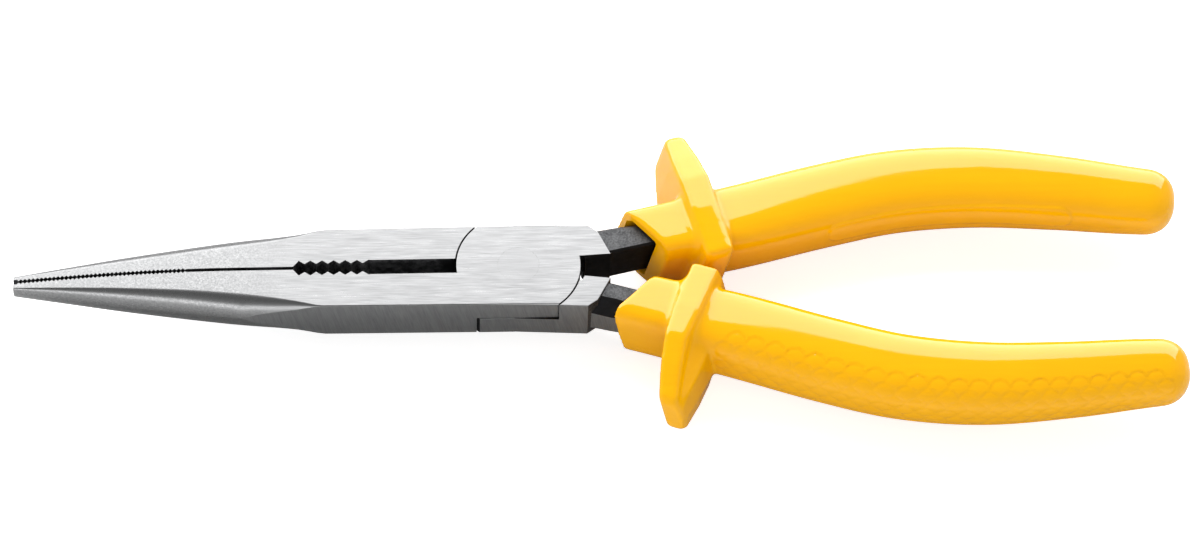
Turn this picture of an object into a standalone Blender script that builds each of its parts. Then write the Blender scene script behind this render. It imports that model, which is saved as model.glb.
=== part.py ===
"""Needle nose pliers: two forged steel halves, a flush rivet and two insulating sleeves.

The jaws point along -X, the handles along +X, and the rivet axis is Z.
The underside of the ground joint is the plane z = 0, with the rivet axis at x = y = 0.
Each half is drawn about its own middle plane with its jaw at -Y and its handle at +Y.
The second half is the same drawing turned half a revolution about X.
"""

import math

import bmesh
import bpy
from mathutils import Matrix, Vector

MM = 0.001

# ---- steel head -------------------------------------------------------------------
HEAD_HALF_THICKNESS = 4.28
HEAD_HALF_WIDTH = 8.28
HEAD_SIDE_SLOPE = 0.0073
DISC_RADIUS = 10.75
CLEARANCE = 0.3
LAP_FACE_Z = 0.15
JAW_FACE_Y = 0.15

# Jaw sections: x, half width of the flat face, half width at mid height,
# half thickness, half height of the straight ground side.
JAW_SECTIONS = (
    (-87.4, 1.10, 1.55, 1.40, 0.10),
    (-79.0, 1.85, 2.92, 2.40, 0.15),
    (-69.0, 2.70, 4.62, 3.40, 0.15),
    (-58.0, 3.75, 6.32, 4.10, 0.15),
    (-50.0, 4.75, 7.52, 4.28, 0.15),
    (-46.0, 5.35, 7.95, 4.28, 0.40),
    (-40.5, 6.45, 8.00, 4.28, 2.40),
    (-35.5, 7.65, 8.02, 4.28, 3.80),
    (-33.5, 7.95, 8.04, 4.28, 4.15),
    (-1.0, 8.19, 8.27, 4.28, 4.20),
)
JAW_CORNER_STEPS = 6

# ---- pipe grip and slot between the jaws -------------------------------------------
NOTCH_COUNT = 7
NOTCH_PITCH = 2.01
NOTCH_FIRST_X = -38.0
NOTCH_DEPTH = 1.55
NOTCH_CREST = 0.85
SLOT_START_X = -25.5
SLOT_DEPTH = 1.5

# ---- forged tang that runs inside the sleeve -----------------------------------------
HANDLE_SKEW_DEG = 1.96
SHOULDER = ((-1.0, 8.30), (12.1, 8.55), (13.8, 7.20), (16.0, 2.60), (11.0, 2.10), (-1.0, 2.05))
# Tang sections: x, inner reach, outer reach, half height, and the chamfers of the
# lower outer and upper outer corners.
TANG_SECTIONS = (
    (11.0, 2.30, 3.50, 3.90, 2.30, 1.00),
    (17.0, 2.15, 3.40, 3.85, 2.45, 1.10),
    (24.0, 2.10, 2.80, 3.75, 1.60, 0.90),
    (40.0, 2.20, 2.20, 3.50, 0.60, 0.60),
    (60.0, 2.10, 2.10, 3.20, 0.60, 0.60),
    (80.0, 1.90, 1.90, 2.80, 0.60, 0.60),
    (98.0, 1.50, 1.50, 2.20, 0.60, 0.60),
)
TANG_INNER_CHAMFER = 0.35
TANG_STATION_STEP = 6.0

# ---- insulating sleeve -----------------------------------------------------------------
# Centre line of the handle, as x and y of the points a smooth curve passes through.
HANDLE_LINE = (
    (0.0, 1.6),
    (12.0, 4.4),
    (24.0, 7.6),
    (38.0, 11.5),
    (53.5, 16.4),
    (66.0, 19.6),
    (80.0, 20.8),
    (95.0, 19.85),
    (108.0, 18.35),
    (118.0, 17.6),
)
# Sleeve sections: x, half width, half thickness, roundness exponent.
SLEEVE_SECTIONS = (
    (9.0, 5.50, 5.60, 5.0),
    (26.0, 5.60, 5.70, 5.0),
    (34.0, 6.60, 5.75, 3.6),
    (42.0, 6.95, 5.80, 3.1),
    (60.0, 7.10, 5.85, 2.9),
    (80.0, 6.95, 5.65, 2.8),
    (100.0, 6.25, 5.15, 2.7),
    (110.5, 5.75, 4.75, 2.6),
)
SLEEVE_END_X = 115.8
SLEEVE_DOME_LENGTH = 5.3
SLEEVE_DOME_STEPS = 5
SLEEVE_STATION_STEP = 3.5
SLEEVE_RING_POINTS = 28
# The section leans over towards its lower outer side by this many degrees at each x.
SLEEVE_LEAN = ((9.0, 0.0), (30.0, 0.5), (46.0, 3.3), (77.0, 5.5), (95.0, 7.2), (110.0, 8.5))
CAVITY_END_X = 100.0
# Slanted mouth of the sleeve in plan, and how far mouth and guard lean along the handle
# per millimetre of height.
MOUTH_LINE = ((34.0, -8.0), (25.2, 2.0), (21.4, 6.3), (18.4, 9.5), (16.8, 12.2), (16.5, 18.0))
MOUTH_BACK_X = -5.0
MOUTH_REACH = 12.0
FRONT_LEAN = 0.23
MOUTH_FLARE = 0.8
MOUTH_FLARE_END_X = 34.0

# ---- hand guard ---------------------------------------------------------------------------
GUARD_POINT = (29.5, 9.1)
GUARD_ANGLE_DEG = 17.0
# Guard sections: distance outward from the handle's axis; front; rear at the top rim, at
# the bottom rim and at the root; half heights of the rim and of the root.
GUARD_SECTIONS = (
    (-9.0, 0.0, 3.6, 3.7, 3.8, 5.2, 3.0),
    (-8.3, -0.7, 4.3, 4.3, 4.6, 6.4, 4.2),
    (1.2, -0.9, 4.2, 3.9, 5.4, 7.2, 5.0),
    (7.3, -0.8, 4.5, 3.3, 6.0, 7.2, 3.0),
    (12.5, -0.3, 4.6, 3.6, 5.4, 5.9, 2.6),
    (18.2, 0.7, 4.45, 4.2, 4.7, 4.2, 1.8),
    (19.3, 1.3, 4.1, 3.9, 4.3, 3.3, 1.2),
)
GUARD_RIM_CORNER = 0.5
GUARD_FLANK_STEP = 1.2

# ---- rivet ----------------------------------------------------------------------------------
RIVET_SHANK_RADIUS = 2.6
RIVET_HEAD_RADIUS = 3.6
RIVET_HEAD_DEPTH = 1.4
ROUND_STEPS = 48
DISC_STEPS = 72
CUT_MARGIN = 2.0

# ---- colours -----------------------------------------------------------------------------------
STEEL_COLOUR = (0.62, 0.63, 0.64, 1.0)
RIVET_COLOUR = (0.55, 0.56, 0.57, 1.0)
SLEEVE_COLOUR = (0.93, 0.50, 0.01, 1.0)


def clear_scene():
    for existing in list(bpy.data.objects):
        bpy.data.objects.remove(existing, do_unlink=True)


def new_collection(name):
    collection = bpy.data.collections.new(name)
    bpy.context.scene.collection.children.link(collection)
    return collection


def new_material(name, colour, roughness, metallic):
    material = bpy.data.materials.new(name)
    material.use_nodes = True
    surface = material.node_tree.nodes["Principled BSDF"]
    surface.inputs["Base Color"].default_value = colour
    surface.inputs["Roughness"].default_value = roughness
    surface.inputs["Metallic"].default_value = metallic
    material.diffuse_color = colour
    return material


def new_object(name, mesh_builder, collection, turned):
    """Make a mesh object in millimetre drawing units, scaled to metres in its mesh."""
    bmesh.ops.recalc_face_normals(mesh_builder, faces=mesh_builder.faces[:])
    bmesh.ops.scale(mesh_builder, vec=(MM, MM, MM), verts=mesh_builder.verts[:])
    mesh = bpy.data.meshes.new(name)
    mesh_builder.to_mesh(mesh)
    mesh_builder.free()
    item = bpy.data.objects.new(name, mesh)
    item.location = (0.0, 0.0, HEAD_HALF_THICKNESS * MM)
    if turned:
        item.rotation_euler = (math.pi, 0.0, 0.0)
    collection.objects.link(item)
    return item


def loft_between(rings):
    """Skin a row of equal-sized rings and close both ends."""
    build = bmesh.new()
    rows = [[build.verts.new(point) for point in ring] for ring in rings]
    count = len(rows[0])
    for near, far in zip(rows, rows[1:]):
        for index in range(count):
            following = (index + 1) % count
            build.faces.new((near[index], near[following], far[following], far[index]))
    build.faces.new(rows[0])
    build.faces.new(list(reversed(rows[-1])))
    return build


def extrude_outline(points, bottom, top):
    """Raise a flat plan outline into a plate between two heights."""
    build = bmesh.new()
    corners = [build.verts.new((x, y, bottom)) for x, y in points]
    floor = build.faces.new(corners)
    raised = bmesh.ops.extrude_face_region(build, geom=[floor])
    moved = [item for item in raised["geom"] if isinstance(item, bmesh.types.BMVert)]
    bmesh.ops.translate(build, vec=(0.0, 0.0, top - bottom), verts=moved)
    return build


def round_bar(radius, bottom, top):
    """A cylinder about Z between two heights."""
    build = bmesh.new()
    bmesh.ops.create_cone(
        build, cap_ends=True, segments=DISC_STEPS,
        radius1=radius, radius2=radius, depth=top - bottom,
    )
    bmesh.ops.translate(build, vec=(0.0, 0.0, (top + bottom) / 2), verts=build.verts[:])
    return build


def turn_about_pivot(build, degrees):
    rotation = Matrix.Rotation(math.radians(degrees), 3, "Z")
    bmesh.ops.rotate(build, cent=(0.0, 0.0, 0.0), matrix=rotation, verts=build.verts[:])


def head_half_width(x):
    return HEAD_HALF_WIDTH + HEAD_SIDE_SLOPE * x


def table_value(table, x, column):
    """Straight-line value of one column of a section table at the distance x."""
    if x <= table[0][0]:
        return table[0][column]
    for near, far in zip(table, table[1:]):
        if x <= far[0]:
            share = (x - near[0]) / (far[0] - near[0])
            return near[column] + share * (far[column] - near[column])
    return table[-1][column]


def smooth_value(table, x, column):
    """Cubic value through the rows of a table, with matching slopes at each row."""
    last = len(table) - 1
    index = 0
    while index < last - 1 and x > table[index + 1][0]:
        index += 1
    near, far = table[index], table[index + 1]
    before = table[max(index - 1, 0)]
    after = table[min(index + 2, last)]
    span = far[0] - near[0]
    share = min(max((x - near[0]) / span, 0.0), 1.0)
    slope_near = (far[column] - before[column]) / (far[0] - before[0])
    slope_far = (after[column] - near[column]) / (after[0] - near[0])
    square = share * share
    cube = square * share
    return (
        (2 * cube - 3 * square + 1) * near[column]
        + (cube - 2 * square + share) * span * slope_near
        + (3 * square - 2 * cube) * far[column]
        + (cube - square) * span * slope_far
    )


def handle_frame(x):
    """Point on the handle centre line and the unit direction pointing outward from it."""
    step = 0.5
    centre = Vector((x, smooth_value(HANDLE_LINE, x, 1), 0.0))
    ahead = Vector((x + step, smooth_value(HANDLE_LINE, x + step, 1), 0.0))
    behind = Vector((x - step, smooth_value(HANDLE_LINE, x - step, 1), 0.0))
    along = (ahead - behind).normalized()
    return centre, Vector((-along.y, along.x, 0.0))


def stations(start, end, step):
    count = max(1, round((end - start) / step))
    return [start + (end - start) * index / count for index in range(count + 1)]


def rounded_ring(centre, sideways, half_width, half_height, exponent, lean, points):
    """A superellipse ring across the given sideways direction, leaning by some degrees."""
    cosine, sine = math.cos(math.radians(lean)), math.sin(math.radians(lean))
    ring = []
    for index in range(points):
        angle = 2 * math.pi * (index + 0.5) / points
        across = math.copysign(abs(math.cos(angle)) ** (2 / exponent), math.cos(angle))
        upward = math.copysign(abs(math.sin(angle)) ** (2 / exponent), math.sin(angle))
        across, upward = half_width * across, half_height * upward
        lift = Vector((0.0, 0.0, across * sine + upward * cosine))
        ring.append(centre + sideways * (across * cosine - upward * sine) + lift)
    return ring


def jaw_ring(section):
    """One D-shaped jaw section: flat inner face, flat top and bottom, rounded outer side."""
    x, flat, width, thick, straight = section
    upper = []
    for step in range(JAW_CORNER_STEPS + 1):
        angle = math.pi / 2 * step / JAW_CORNER_STEPS
        y = flat + (width - flat) * math.sin(angle)
        z = straight + (thick - straight) * math.cos(angle)
        upper.append((y, z))
    lower = [(y, -z) for y, z in reversed(upper)]
    outline = [(JAW_FACE_Y, thick)] + upper + lower + [(JAW_FACE_Y, -thick)]
    return [(x, -y, z) for y, z in outline]


def jaw_body():
    return loft_between([jaw_ring(section) for section in JAW_SECTIONS])


def disc_outline(radius):
    """The round joint face with its two sides ground straight to the head width."""
    points = []
    for step in range(DISC_STEPS):
        angle = 2 * math.pi * step / DISC_STEPS
        x = radius * math.cos(angle)
        y = radius * math.sin(angle)
        limit = head_half_width(x)
        if abs(y) < limit:
            points.append((x, y))
        elif abs(radius * math.sin(angle - 2 * math.pi / DISC_STEPS)) < limit or (
            abs(radius * math.sin(angle + 2 * math.pi / DISC_STEPS)) < limit
        ):
            edge_x = math.copysign(math.sqrt(radius ** 2 - limit ** 2), x)
            points.append((edge_x, math.copysign(limit, y)))
    return points


def disc_plate():
    return extrude_outline(disc_outline(DISC_RADIUS), LAP_FACE_Z, HEAD_HALF_THICKNESS)


def shoulder_block(skew):
    """Ground rear corner of the head that the tang grows from."""
    build = extrude_outline(SHOULDER, -HEAD_HALF_THICKNESS, HEAD_HALF_THICKNESS)
    turn_about_pivot(build, skew)
    return build


def bar_ring(x, growth):
    """An upright tang section with flattened corners, grown evenly by a clearance."""
    centre, sideways = handle_frame(x)
    inner, outer, high, low_cut, top_cut = (table_value(TANG_SECTIONS, x, c) for c in range(1, 6))
    inner, outer, high = inner + growth, outer + growth, high + growth
    small = TANG_INNER_CHAMFER
    corners = (
        (outer - top_cut, high), (outer, high - top_cut),
        (outer, low_cut - high), (outer - low_cut, -high),
        (small - inner, -high), (-inner, small - high),
        (-inner, high - small), (small - inner, high),
    )
    return [centre + sideways * across + Vector((0.0, 0.0, up)) for across, up in corners]


def tang_bar(skew):
    distances = stations(TANG_SECTIONS[0][0], TANG_SECTIONS[-1][0], TANG_STATION_STEP)
    build = loft_between([bar_ring(x, 0.0) for x in distances])
    turn_about_pivot(build, skew)
    return build


def tang_cavity(skew):
    """The space for the tang inside the sleeve, flaring a little towards the mouth."""
    start = TANG_SECTIONS[0][0] - CUT_MARGIN
    rings = []
    for x in stations(start, CAVITY_END_X, TANG_STATION_STEP):
        share = min(max((MOUTH_FLARE_END_X - x) / (MOUTH_FLARE_END_X - start), 0.0), 1.0)
        rings.append(bar_ring(x, CLEARANCE + MOUTH_FLARE * share))
    build = loft_between(rings)
    turn_about_pivot(build, skew)
    return build


def sleeve_ring(x, shrink):
    centre, sideways = handle_frame(x)
    half_width = smooth_value(SLEEVE_SECTIONS, x, 1) * shrink
    half_height = smooth_value(SLEEVE_SECTIONS, x, 2) * shrink
    exponent = table_value(SLEEVE_SECTIONS, x, 3)
    lean = smooth_value(SLEEVE_LEAN, x, 1)
    return rounded_ring(
        centre, sideways, half_width, half_height, exponent, lean, SLEEVE_RING_POINTS
    )


def sleeve_body(skew):
    """Outer skin of the sleeve, closed by a dome at the rear end."""
    dome_start = SLEEVE_END_X - SLEEVE_DOME_LENGTH
    rings = [
        sleeve_ring(x, 1.0)
        for x in stations(SLEEVE_SECTIONS[0][0], dome_start, SLEEVE_STATION_STEP)
    ]
    for step in range(1, SLEEVE_DOME_STEPS + 1):
        angle = math.pi / 2 * step / (SLEEVE_DOME_STEPS + 0.6)
        x = dome_start + SLEEVE_DOME_LENGTH * math.sin(angle)
        rings.append(sleeve_ring(x, math.cos(angle) ** 0.8))
    build = loft_between(rings)
    turn_about_pivot(build, skew)
    return build


def lean_forward(build):
    """Shift points along the handle with their height."""
    angle = math.radians(GUARD_ANGLE_DEG)
    along = Vector((math.cos(angle), math.sin(angle), 0.0))
    for vert in build.verts:
        vert.co += along * (FRONT_LEAN * vert.co.z)


def guard_ring(section):
    """Guard section looking along the flange: upright front, flat rim and buttressed rear."""
    distance, front, rear_top, rear_bottom, rear_root, rim, root = section
    corner = GUARD_RIM_CORNER
    outline = (
        (front, corner - rim), (front, rim - corner), (front + corner, rim),
        (rear_top - corner, rim), (rear_top, rim - corner), (rear_root, root - corner),
        (rear_root, -root), (rear_bottom, -(root + GUARD_FLANK_STEP)),
        (rear_bottom, corner - rim), (rear_bottom - corner, -rim), (front + corner, -rim),
    )
    return [(along, distance, height) for along, height in outline]


def guard_body(skew):
    """Buttressed flange that keeps the hand off the metal."""
    build = loft_between([guard_ring(section) for section in GUARD_SECTIONS])
    rotation = Matrix.Rotation(math.radians(GUARD_ANGLE_DEG), 3, "Z")
    bmesh.ops.rotate(build, cent=(0.0, 0.0, 0.0), matrix=rotation, verts=build.verts[:])
    bmesh.ops.translate(build, vec=(GUARD_POINT[0], GUARD_POINT[1], 0.0), verts=build.verts[:])
    lean_forward(build)
    turn_about_pivot(build, skew)
    return build


def mouth_wedge(skew):
    """Block that trims the sleeve mouth to its slanted, leaning line."""
    outline = list(MOUTH_LINE) + [
        (MOUTH_BACK_X, MOUTH_LINE[-1][1]),
        (MOUTH_BACK_X, MOUTH_LINE[0][1]),
    ]
    build = extrude_outline(outline, -MOUTH_REACH, MOUTH_REACH)
    lean_forward(build)
    turn_about_pivot(build, skew)
    return build


def grip_notches():
    """Plan outline of the pipe-grip notches and the slot, raised through the whole jaw."""
    top = CUT_MARGIN
    points = [(NOTCH_FIRST_X - NOTCH_PITCH / 2, top)]
    points.append((NOTCH_FIRST_X - NOTCH_PITCH / 2, 0.0))
    for index in range(NOTCH_COUNT):
        x = NOTCH_FIRST_X + NOTCH_PITCH * index
        points.append((x, -NOTCH_DEPTH))
        points.append((x + NOTCH_PITCH / 2, -NOTCH_CREST))
    points[-1] = (SLOT_START_X, -SLOT_DEPTH)
    points.append((CUT_MARGIN, -SLOT_DEPTH))
    points.append((CUT_MARGIN, top))
    reach = HEAD_HALF_THICKNESS + CUT_MARGIN
    return extrude_outline(points, -reach, reach)


def rivet_profile(growth):
    """Half outline of the rivet from top to bottom: countersunk heads on a straight shank."""
    top = HEAD_HALF_THICKNESS
    head = RIVET_HEAD_RADIUS + growth
    shank = RIVET_SHANK_RADIUS + growth
    neck = top - RIVET_HEAD_DEPTH
    return ((0.0, top), (head, top), (shank, neck), (shank, -neck), (head, -top), (0.0, -top))


def spun_mesh(name, profile, collection):
    """Spin a half outline about Z with a Screw modifier."""
    mesh = bpy.data.meshes.new(name)
    points = [(radius * MM, 0.0, height * MM) for radius, height in profile]
    edges = [(index, index + 1) for index in range(len(points) - 1)]
    mesh.from_pydata(points, edges, [])
    item = bpy.data.objects.new(name, mesh)
    item.location = (0.0, 0.0, HEAD_HALF_THICKNESS * MM)
    collection.objects.link(item)
    screw = item.modifiers.new("spin", "SCREW")
    screw.steps = ROUND_STEPS
    screw.render_steps = ROUND_STEPS
    screw.use_merge_vertices = True
    screw.merge_threshold = 0.00001
    return item


def rivet_hole_profile():
    """The rivet outline one clearance larger, run past both faces."""
    grown = list(rivet_profile(CLEARANCE))
    reach = HEAD_HALF_THICKNESS + CUT_MARGIN
    head = grown[1][0]
    return [(0.0, reach), (head, reach)] + grown[1:-1] + [(head, -reach), (0.0, -reach)]


def add_boolean(target, tool, operation):
    modifier = target.modifiers.new(tool.name, "BOOLEAN")
    modifier.operation = operation
    modifier.solver = "EXACT"
    modifier.object = tool


def shade_round(item, degrees):
    """Smooth shading with creases kept at edges sharper than the given angle."""
    for polygon in item.data.polygons:
        polygon.use_smooth = True
    item.data.set_sharp_from_angle(angle=math.radians(degrees))


def build_half(name, turned, skew, parts, tools):
    """One forged half: jaw, lap joint disc, shoulder and tang in one solid."""
    half = new_object(name, jaw_body(), parts, turned)
    for label, build in (
        ("disc", disc_plate()),
        ("shoulder", shoulder_block(skew)),
        ("tang", tang_bar(skew)),
    ):
        add_boolean(half, new_object(name + "_" + label, build, tools, turned), "UNION")
    lap = round_bar(DISC_RADIUS + CLEARANCE, -HEAD_HALF_THICKNESS - CUT_MARGIN, LAP_FACE_Z)
    add_boolean(half, new_object(name + "_lap_cut", lap, tools, turned), "DIFFERENCE")
    notches = new_object(name + "_notch_cut", grip_notches(), tools, turned)
    # The slot may reach the disc only in the jaw, so the notch cut comes before the union.
    add_boolean(half, notches, "DIFFERENCE")
    half.modifiers.move(len(half.modifiers) - 1, 0)
    shade_round(half, 35)
    return half


def build_sleeve(name, turned, skew, parts, tools):
    """One insulating sleeve with its guard, hollow for the tang and open at the mouth."""
    sleeve = new_object(name, sleeve_body(skew), parts, turned)
    for label, build, operation in (
        ("guard", guard_body(skew), "UNION"),
        ("cavity", tang_cavity(skew), "DIFFERENCE"),
        ("mouth", mouth_wedge(skew), "DIFFERENCE"),
    ):
        add_boolean(sleeve, new_object(name + "_" + label, build, tools, turned), operation)
    shade_round(sleeve, 35)
    return sleeve


def main():
    clear_scene()
    parts = new_collection("needle_nose_pliers")
    tools = new_collection("needle_nose_pliers_cutters")

    fixed_half = build_half("lower_handle_half", True, HANDLE_SKEW_DEG, parts, tools)
    moving_half = build_half("upper_handle_half", False, -HANDLE_SKEW_DEG, parts, tools)
    fixed_sleeve = build_sleeve("lower_grip_sleeve", True, HANDLE_SKEW_DEG, parts, tools)
    moving_sleeve = build_sleeve("upper_grip_sleeve", False, -HANDLE_SKEW_DEG, parts, tools)

    rivet = spun_mesh("pivot_rivet", rivet_profile(0.0), parts)
    hole = spun_mesh("rivet_hole_cut", rivet_hole_profile(), tools)
    for half in (fixed_half, moving_half):
        add_boolean(half, hole, "DIFFERENCE")

    for item, colour, roughness, metallic in (
        (fixed_half, STEEL_COLOUR, 0.35, 1.0),
        (moving_half, STEEL_COLOUR, 0.35, 1.0),
        (rivet, RIVET_COLOUR, 0.35, 1.0),
        (fixed_sleeve, SLEEVE_COLOUR, 0.3, 0.0),
        (moving_sleeve, SLEEVE_COLOUR, 0.3, 0.0),
    ):
        item.data.materials.append(new_material(item.name, colour, roughness, metallic))

    for tool in tools.objects:
        tool.hide_render = True
        tool.display_type = "WIRE"


main()
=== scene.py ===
"""Needle nose pliers: detailed steel halves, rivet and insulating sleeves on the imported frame.

Shapes are drawn in millimetres as in the part: the rivet axis is Z, the jaws point along -X,
and each half has its jaw at -Y and its handle at +Y of its own middle plane z = 0.
The lower half is the same drawing turned half a revolution about X.
"""

import math

import bmesh
import bpy
import numpy as np
from mathutils import Matrix, Vector


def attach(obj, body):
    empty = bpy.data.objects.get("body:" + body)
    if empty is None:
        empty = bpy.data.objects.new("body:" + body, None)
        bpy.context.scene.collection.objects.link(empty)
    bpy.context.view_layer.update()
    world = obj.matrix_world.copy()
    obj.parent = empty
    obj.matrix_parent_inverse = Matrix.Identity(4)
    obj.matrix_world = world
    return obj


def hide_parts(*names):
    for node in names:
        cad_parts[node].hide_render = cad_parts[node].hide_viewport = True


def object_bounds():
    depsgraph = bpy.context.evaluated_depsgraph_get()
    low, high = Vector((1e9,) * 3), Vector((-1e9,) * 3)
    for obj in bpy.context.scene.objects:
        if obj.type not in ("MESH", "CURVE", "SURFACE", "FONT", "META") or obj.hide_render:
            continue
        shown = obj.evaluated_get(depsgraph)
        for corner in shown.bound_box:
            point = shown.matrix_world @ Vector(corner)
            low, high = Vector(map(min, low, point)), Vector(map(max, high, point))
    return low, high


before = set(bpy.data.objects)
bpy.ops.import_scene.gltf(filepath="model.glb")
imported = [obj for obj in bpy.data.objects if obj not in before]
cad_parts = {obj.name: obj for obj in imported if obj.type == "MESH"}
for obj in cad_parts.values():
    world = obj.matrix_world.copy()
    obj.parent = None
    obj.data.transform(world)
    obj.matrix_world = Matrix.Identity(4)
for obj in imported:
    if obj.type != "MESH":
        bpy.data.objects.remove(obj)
CAD_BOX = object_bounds()

MM = 0.001

# ---- steel head ------------------------------------------------------------------------
HEAD_HALF_THICKNESS = 4.28
HEAD_HALF_WIDTH = 8.28
HEAD_SIDE_SLOPE = 0.0073
DISC_RADIUS = 10.75
# The disc's side that the jaw doesn't cover, and how far its other side lies inside the jaw's.
DISC_FREE_SIDE = 8.297
FLUSH_INSET = 0.004
DISC_STEPS = 180
DISC_ARC_STEPS = DISC_STEPS // 4
CLEARANCE = 0.3
LAP_ARC_GAP = 0.3
LAP_FACE_Z = 0.07
JAW_FACE_Y = 0.15
EDGE_ROUND = 0.15
EDGE_ROUND_FROM_DEG = 40
STEEL_CREASE_DEG = 32

# Jaw sections: x, half widths of the top and bottom flats, half width and height of the
# widest point before the sides are ground flat, half thickness.
JAW_SECTIONS = (
    (-87.4, 1.15, 0.85, 1.55, 0.10, 1.40),
    (-79.0, 1.90, 1.45, 2.95, 0.15, 2.40),
    (-69.0, 2.80, 2.20, 4.65, 0.25, 3.40),
    (-58.0, 3.85, 3.30, 6.35, 0.40, 4.10),
    (-50.0, 4.75, 4.35, 7.55, 0.55, 4.28),
    (-46.0, 5.30, 4.95, 8.02, 0.65, 4.28),
    (-42.6, 5.90, 5.55, 8.25, 0.75, 4.28),
    (-38.0, 6.90, 6.60, 8.50, 0.80, 4.28),
    (-35.5, 7.60, 7.45, 8.70, 0.80, 4.28),
    (-33.5, 7.92, 7.90, 8.90, 0.80, 4.28),
    (6.75, 8.19, 8.19, 8.97, 0.80, 4.28),
)
# A rounded corner stops short of upright, which leaves a narrow strip for the flat side.
JAW_CORNER_END_DEG = 89.4
JAW_CORNER_STEPS = 12
JAW_STATION_STEP = 1.6
NOSE_END_X = -33.5

# ---- serrations, pipe grip and slot between the jaws -------------------------------------
SERRATION_COUNT = 41
SERRATION_PITCH = 0.72
SERRATION_FIRST_X = -86.8
SERRATION_CREST = 0.17
SERRATION_DEPTH = 0.50
RELIEF_DEPTH = 0.32
NOTCH_COUNT = 7
NOTCH_PITCH = 2.01
NOTCH_FIRST_X = -38.0
NOTCH_DEPTH = 1.55
NOTCH_CREST = 0.85
SLOT_START_X = -25.5
SLOT_DEPTH = 1.5

# ---- forged tang -------------------------------------------------------------------------
HANDLE_SKEW_DEG = 1.96
# Plan outlines of the shoulder and of the corner cut away from the lap face beside it.
SHOULDER = ((-1.0, 8.30), (12.1, 8.55), (13.8, 7.20), (16.0, 2.60), (11.0, 2.10), (-1.0, 2.05))
LAP_CORNER = ((10.4, 1.5), (12.5, 2.0), (11.75, 2.3), (11.3, 2.75), (11.0, 3.5), (10.4, 3.5))
# Tang sections: x, inner reach, outer reach, half height, and the chamfers of the
# lower outer and upper outer corners.
TANG_SECTIONS = (
    (11.0, 2.30, 3.50, 3.90, 2.30, 1.00),
    (17.0, 2.15, 3.40, 3.85, 2.45, 1.10),
    (24.0, 2.10, 2.80, 3.75, 1.60, 0.90),
    (40.0, 2.20, 2.20, 3.50, 0.60, 0.60),
    (60.0, 2.10, 2.10, 3.20, 0.60, 0.60),
    (80.0, 1.90, 1.90, 2.80, 0.60, 0.60),
    (98.0, 1.50, 1.50, 2.20, 0.60, 0.60),
)
TANG_INNER_CHAMFER = 0.35
TANG_STATION_STEP = 2.0

# ---- insulating sleeve ---------------------------------------------------------------------
# Centre line of the handle: x and y.
HANDLE_LINE = (
    (0.0, 1.6),
    (12.0, 4.4),
    (24.0, 7.6),
    (38.0, 11.5),
    (53.5, 16.4),
    (66.0, 19.6),
    (80.0, 20.8),
    (95.0, 19.85),
    (108.0, 18.35),
    (118.0, 17.6),
)
# Sleeve sections: x, half width, half height and superellipse exponent.
SLEEVE_SECTIONS = (
    (9.0, 5.50, 5.60, 5.0),
    (26.0, 5.60, 5.70, 5.0),
    (34.0, 6.60, 5.75, 3.6),
    (42.0, 6.95, 5.80, 3.1),
    (60.0, 7.10, 5.85, 2.9),
    (80.0, 6.95, 5.65, 2.8),
    (100.0, 6.25, 5.15, 2.7),
    (110.5, 5.75, 4.75, 2.6),
)
# The top of the section leans inward by this many degrees at each x.
SLEEVE_LEAN = ((9.0, 0.0), (30.0, 0.5), (46.0, 3.3), (77.0, 5.5), (95.0, 7.2), (110.0, 8.5))
SLEEVE_END_X = 115.8
SLEEVE_DOME_LENGTH = 5.3
SLEEVE_DOME_STEPS = 10
# The dome ends this many steps short of a point, and its sections shrink by this power.
SLEEVE_DOME_OPENING = 0.6
SLEEVE_DOME_POWER = 0.8
SLEEVE_CREASE_DEG = 40
SLEEVE_STATION_STEP = 1.25
SLEEVE_RING_POINTS = 96
CAVITY_END_X = 100.0
# Slanted mouth of the sleeve in plan, and how far mouth and guard lean along the handle
# per millimetre of height.
MOUTH_LINE = ((34.0, -8.0), (25.2, 2.0), (21.4, 6.3), (18.4, 9.5), (16.8, 12.2), (16.5, 18.0))
MOUTH_BACK_X = -5.0
MOUTH_REACH = 12.0
FRONT_LEAN = 0.23
MOUTH_FLARE = 0.8
MOUTH_FLARE_END_X = 34.0

# ---- hand guard ---------------------------------------------------------------------------
GUARD_POINT = (29.5, 9.1)
GUARD_ANGLE_DEG = 17.0
# Guard sections: distance outward from the handle's axis; front; rear at the top rim, at
# the bottom rim and at the root; half heights of the rim and of the root.
GUARD_SECTIONS = (
    (-9.0, 0.0, 3.6, 3.7, 3.8, 5.2, 3.0),
    (-8.3, -0.7, 4.3, 4.3, 4.6, 6.4, 4.2),
    (1.2, -0.9, 4.2, 3.9, 5.4, 7.2, 5.0),
    (7.3, -0.8, 4.5, 3.3, 6.0, 7.2, 3.0),
    (12.5, -0.3, 4.6, 3.6, 5.4, 5.9, 2.6),
    (18.2, 0.7, 4.45, 4.2, 4.7, 4.2, 1.8),
    (19.3, 1.3, 4.1, 3.9, 4.3, 3.3, 1.2),
)
# Fillet between guard and sleeve: distance from the guard's face and growth of the section,
# which starts a little under the sleeve's skin.
GUARD_FILLET = ((1.5, 0.0), (0.9, 0.1), (0.4, 0.35), (0.0, 0.75), (-0.4, 0.8))
FILLET_SINK = 0.02
GUARD_FRONT = -0.9
GUARD_REAR = 3.4
GUARD_RIM_CORNER = 0.5
GUARD_FLANK_STEP = 1.2
MOULD_VOXEL = 0.3
MOULD_SMOOTHING = 12
MOULD_SMOOTH_FACTOR = 0.5

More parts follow.
